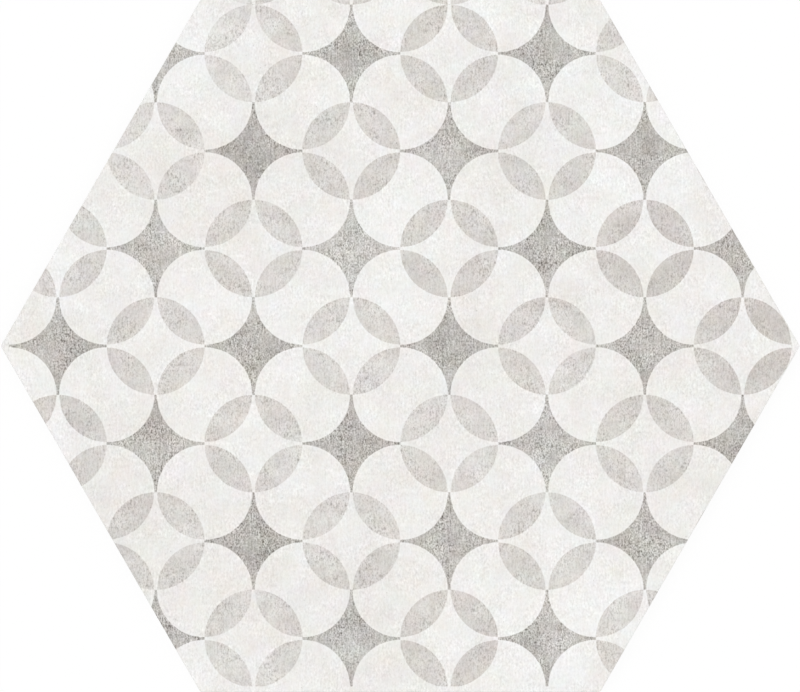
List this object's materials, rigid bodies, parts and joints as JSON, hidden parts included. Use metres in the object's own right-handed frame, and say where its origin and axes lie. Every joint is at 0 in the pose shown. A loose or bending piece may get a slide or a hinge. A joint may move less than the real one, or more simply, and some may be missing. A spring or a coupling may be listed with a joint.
{
  "type": "hexagon floor tile",
  "caption": "Hexagonal porcelain floor tile with a printed overlapping-circle pattern on its face and a honeycomb of ribs on its back.",
  "frame": {"origin": "middle of the bed plane, on which the ribs of the back stand", "axes": "+Z out of the face, +X through one of the six corners"},
  "size_m": [0.3286, 0.285, 0.009],
  "materials": {
    "porcelain": "matt printed face in off-white, light warm grey and mid grey, plain fired body"
  },
  "bodies": {
    "root": {"tile": "porcelain"}
  },
  "joints": []
}
